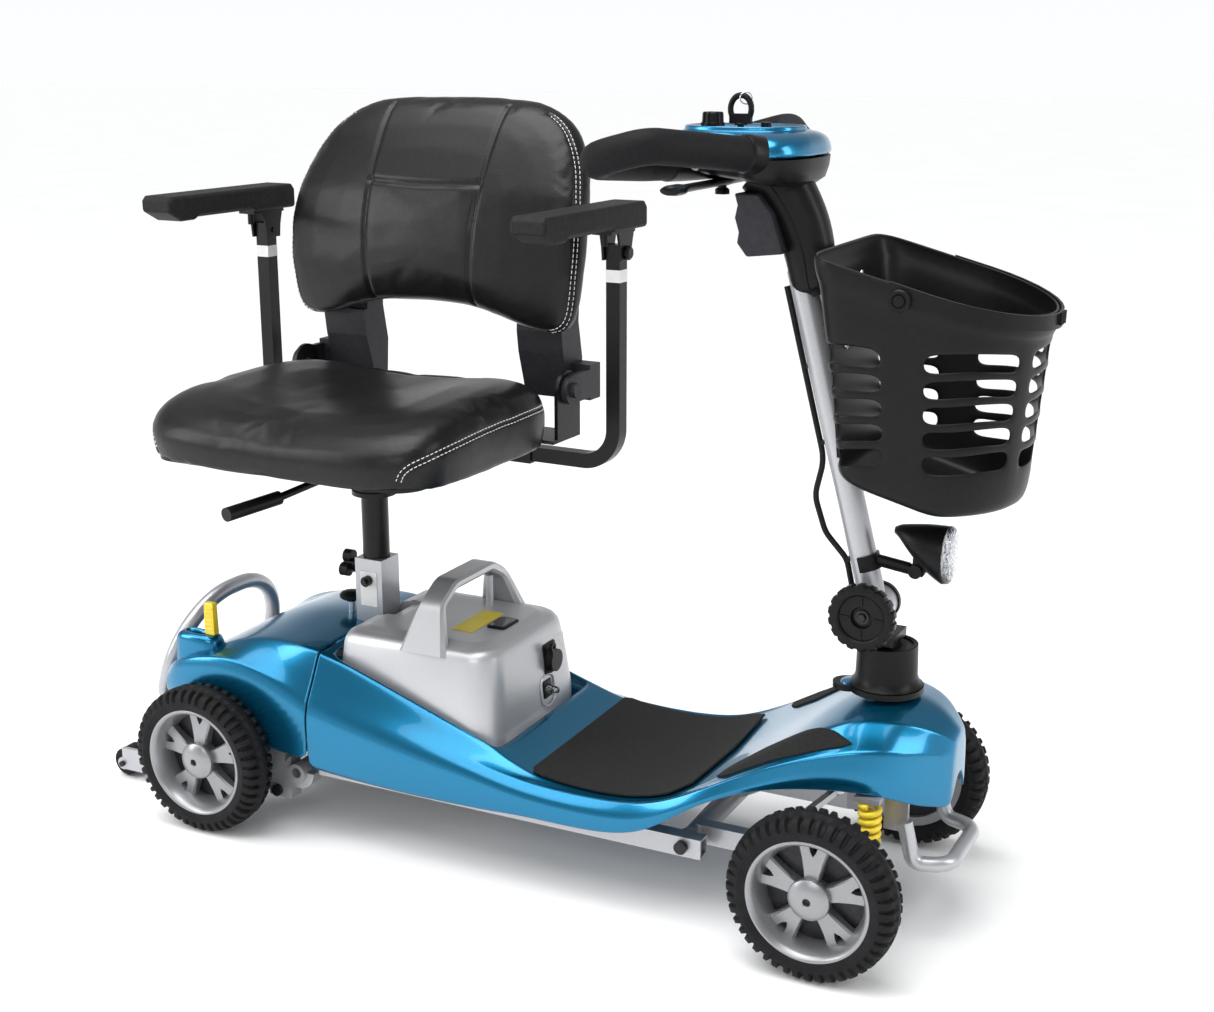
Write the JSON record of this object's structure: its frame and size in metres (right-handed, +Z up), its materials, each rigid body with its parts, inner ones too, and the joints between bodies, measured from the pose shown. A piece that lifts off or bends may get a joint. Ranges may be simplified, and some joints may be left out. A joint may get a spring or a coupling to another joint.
{
  "type": "mobility scooter",
  "caption": "Compact travel mobility scooter with a swivel seat turned sideways, fold-down backrest, tilting tiller with loop grips, front basket, lift-out battery and sprung front axle.",
  "frame": {"origin": "on the ground, midway between the rear wheels, under the rear axle", "axes": "+X forwards, +Y to the rider's left, +Z up"},
  "size_m": [1.2662, 0.5014, 0.958],
  "materials": {
    "silver_frame": "satin silver paint",
    "blue_cover": "metallic blue, glossy",
    "grit_mat": "gritty anti-slip",
    "black_plastic": "fine moulded texture",
    "cast_alloy": "cast",
    "black_steel": "satin black powder coat",
    "controller_case": "finned",
    "bright_steel": "machined",
    "black_bolts": "black oxide",
    "yellow_spring": "gloss powder coat",
    "tyre_rubber": "moulded tread",
    "silver_rim": "satin silver",
    "foam_grip": "foam",
    "clear_lens": "clear, ribbed",
    "black_leather": "grained leatherette with white stitching",
    "grey_plastic": "textured",
    "arm_foam": "moulded polyurethane",
    "silver_plastic": "metallic silver",
    "cell_pack": "shrink wrapped",
    "yellow_plastic": "moulded"
  },
  "bodies": {
    "chassis": {"front_frame": "silver_frame", "rear_frame": "silver_frame", "front_cover": "blue_cover", "rear_cover": "blue_cover", "floor_mats": "grit_mat", "steering_boot": "black_plastic", "transaxle_case": "cast_alloy", "drive_motor": "black_steel", "controller": "controller_case", "shaft_bearings": "bright_steel", "frame_bolts": "black_bolts", "suspension_springs": "yellow_spring"},
    "wheel_rear_left": {"tyre_rear_left": "tyre_rubber", "rim_rear_left": "silver_rim", "half_shaft_left": "bright_steel"},
    "wheel_rear_right": {"tyre_rear_right": "tyre_rubber", "rim_rear_right": "silver_rim", "half_shaft_right": "bright_steel"},
    "anti_tip": {"anti_tip_wheels": "tyre_rubber"},
    "front_suspension": {"swing_frame": "silver_frame"},
    "steer_left": {"knuckle_left": "bright_steel"},
    "steer_right": {"knuckle_right": "bright_steel"},
    "wheel_front_left": {"tyre_front_left": "tyre_rubber", "rim_front_left": "silver_rim"},
    "wheel_front_right": {"tyre_front_right": "tyre_rubber", "rim_front_right": "silver_rim"},
    "steering": {"steering_column": "black_steel"},
    "steering_link": {"track_rod": "bright_steel"},
    "tiller": {"tiller_tube": "silver_frame", "tiller_shroud": "black_plastic", "console_cover": "blue_cover", "hand_grips": "foam_grip", "rear_pocket": "black_plastic", "control_cable": "black_plastic", "tube_brackets": "black_plastic"},
    "tilt_lock": {"tilt_knob": "black_plastic"},
    "throttle": {"throttle_lever": "black_plastic"},
    "dial": {"speed_dial": "black_plastic"},
    "key": {"ignition_key": "black_plastic"},
    "horn": {"horn_button": "black_plastic"},
    "headlight": {"headlight_housing": "black_plastic", "headlight_lens": "clear_lens"},
    "basket_unit": {"basket": "black_plastic"},
    "basket_bail": {"basket_handle": "black_plastic"},
    "seat_column": {"seat_post": "black_steel"},
    "post_lock": {"post_lock_knob": "black_plastic"},
    "seat": {"seat_base": "black_steel", "seat_cushion": "black_leather"},
    "seat_lever": {"swivel_lever": "black_steel"},
    "backrest": {"back_frame": "grey_plastic", "back_cushion": "black_leather"},
    "arm_left": {"arm_tube_left": "black_steel"},
    "arm_right": {"arm_tube_right": "black_steel"},
    "pad_left": {"arm_pad_left": "arm_foam"},
    "pad_right": {"arm_pad_right": "arm_foam"},
    "battery": {"battery_case": "silver_plastic", "battery_cells": "cell_pack"},
    "socket_cap": {"charge_cap": "black_plastic"},
    "latch": {"latch_knob": "black_plastic"},
    "freewheel": {"freewheel_lever": "yellow_plastic"}
  },
  "joints": [
    {"name": "rear_left_spin", "type": "hinge", "parent": "chassis", "child": "wheel_rear_left", "pos_m": [0, 0.1925, 0.1], "axis": [0, 1, 0], "continuous": true},
    {"name": "rear_right_spin", "type": "hinge", "parent": "chassis", "child": "wheel_rear_right", "pos_m": [0, -0.1925, 0.1], "axis": [0, 1, 0], "continuous": true},
    {"name": "anti_tip_spin", "type": "hinge", "parent": "chassis", "child": "anti_tip", "pos_m": [-0.207, 0, 0.023], "axis": [0, 1, 0], "continuous": true},
    {"name": "front_suspension_swing", "type": "hinge", "parent": "chassis", "child": "front_suspension", "pos_m": [0.664, 0, 0.09], "axis": [0, 1, 0], "range_deg": [-1.5, 1.5], "stiffness_Nm_per_rad": 2600, "springref_deg": 0.69, "deforming": ["suspension_springs"]},
    {"name": "steer_left_pivot", "type": "hinge", "parent": "front_suspension", "child": "steer_left", "pos_m": [0.85, 0.138, 0.1], "axis": [0, 0, 1], "range_deg": [-32, 32]},
    {"name": "front_left_spin", "type": "hinge", "parent": "steer_left", "child": "wheel_front_left", "pos_m": [0.85, 0.19, 0.1], "axis": [0, 1, 0], "continuous": true},
    {"name": "steer_right_pivot", "type": "hinge", "parent": "front_suspension", "child": "steer_right", "pos_m": [0.85, -0.138, 0.1], "axis": [0, 0, 1], "range_deg": [-32, 32]},
    {"name": "front_right_spin", "type": "hinge", "parent": "steer_right", "child": "wheel_front_right", "pos_m": [0.85, -0.19, 0.1], "axis": [0, 1, 0], "continuous": true},
    {"name": "steering_turn", "type": "hinge", "parent": "chassis", "child": "steering", "pos_m": [0.866, 0, 0.22], "axis": [0, 0, 1], "range_deg": [-32, 32]},
    {"name": "steering_link_pivot", "type": "hinge", "parent": "steering", "child": "steering_link", "pos_m": [0.811, 0, 0.142], "axis": [0, 0, 1], "range_deg": [-32, 32]},
    {"name": "tiller_tilt", "type": "hinge", "parent": "steering", "child": "tiller", "pos_m": [0.848, 0, 0.38], "axis": [0, -1, 0], "range_deg": [-15, 8]},
    {"name": "tilt_lock_turn", "type": "hinge", "parent": "steering", "child": "tilt_lock", "pos_m": [0.848, 0, 0.38], "axis": [0, -1, 0], "range_deg": [-180, 0]},
    {"name": "throttle_swing", "type": "hinge", "parent": "tiller", "child": "throttle", "pos_m": [0.647, 0, 0.86], "axis": [0, 0, 1], "range_deg": [-12, 12], "stiffness_Nm_per_rad": 0.8},
    {"name": "speed_dial_turn", "type": "hinge", "parent": "tiller", "child": "dial", "pos_m": [0.64, -0.014, 0.92], "axis": [0, 0, 1], "range_deg": [-140, 140]},
    {"name": "key_turn", "type": "hinge", "parent": "tiller", "child": "key", "pos_m": [0.668, 0, 0.92], "axis": [0, 0, 1], "range_deg": [0, 75]},
    {"name": "horn_press", "type": "slide", "parent": "tiller", "child": "horn", "axis": [0, 0, -1], "range_m": [0, 0.0025], "stiffness_N_per_m": 600},
    {"name": "headlight_tilt", "type": "hinge", "parent": "tiller", "child": "headlight", "pos_m": [0.896, 0, 0.43], "axis": [0, -1, 0], "range_deg": [-15, 15]},
    {"name": "basket_lift", "type": "slide", "parent": "tiller", "child": "basket_unit", "axis": [-0.1075, 0, 0.9942], "range_m": [0, 0.06]},
    {"name": "basket_handle_swing", "type": "hinge", "parent": "basket_unit", "child": "basket_bail", "pos_m": [0.9, 0, 0.757], "axis": [0, -1, 0], "range_deg": [0, 100]},
    {"name": "seat_height", "type": "slide", "parent": "chassis", "child": "seat_column", "axis": [0, 0, 1], "range_m": [0, 0.06]},
    {"name": "post_lock_turn", "type": "hinge", "parent": "chassis", "child": "post_lock", "pos_m": [0.12, 0, 0.33], "axis": [-1, 0, 0], "range_deg": [-180, 0]},
    {"name": "seat_swivel", "type": "hinge", "parent": "seat_column", "child": "seat", "pos_m": [0.154, 0, 0.46], "axis": [0, 0, 1], "continuous": true},
    {"name": "swivel_lever_swing", "type": "hinge", "parent": "seat", "child": "seat_lever", "pos_m": [0.12645, -0.04407, 0.476], "axis": [0, 0, 1], "range_deg": [-12, 0], "stiffness_Nm_per_rad": 1.5},
    {"name": "back_fold", "type": "hinge", "parent": "seat", "child": "backrest", "pos_m": [0.15889, 0.13992, 0.57], "axis": [0.9994, -0.0349, 0], "range_deg": [0, 50]},
    {"name": "arm_left_width", "type": "slide", "parent": "seat", "child": "arm_left", "axis": [0.9994, -0.0349, 0], "range_m": [0, 0.05]},
    {"name": "arm_left_flip", "type": "hinge", "parent": "arm_left", "child": "pad_left", "pos_m": [0.44406, 0.13996, 0.754], "axis": [-0.9994, 0.0349, 0], "range_deg": [0, 90]},
    {"name": "arm_right_width", "type": "slide", "parent": "seat", "child": "arm_right", "axis": [-0.9994, 0.0349, 0], "range_m": [0, 0.05]},
    {"name": "arm_right_flip", "type": "hinge", "parent": "arm_right", "child": "pad_right", "pos_m": [-0.12559, 0.15985, 0.754], "axis": [-0.9994, 0.0349, 0], "range_deg": [0, 90]},
    {"name": "battery_lift", "type": "slide", "parent": "chassis", "child": "battery", "axis": [0, 0, 1], "range_m": [0, 0.1]},
    {"name": "socket_cap_swing", "type": "hinge", "parent": "battery", "child": "socket_cap", "pos_m": [0.4047, 0.031, 0.247], "axis": [1, 0, 0], "range_deg": [0, 100]},
    {"name": "latch_pull", "type": "slide", "parent": "chassis", "child": "latch", "axis": [0, 0, 1], "range_m": [0, 0.012], "stiffness_N_per_m": 500},
    {"name": "freewheel_swing", "type": "hinge", "parent": "chassis", "child": "freewheel", "pos_m": [-0.034, -0.121, 0.196], "axis": [0, -1, 0], "range_deg": [0, 22]}
  ],
  "couplings": [
    {"joint": "steer_left_pivot", "follows": "steering_turn", "ratio": 1},
    {"joint": "steer_right_pivot", "follows": "steering_turn", "ratio": 1},
    {"joint": "steering_link_pivot", "follows": "steering_turn", "ratio": -1}
  ]
}
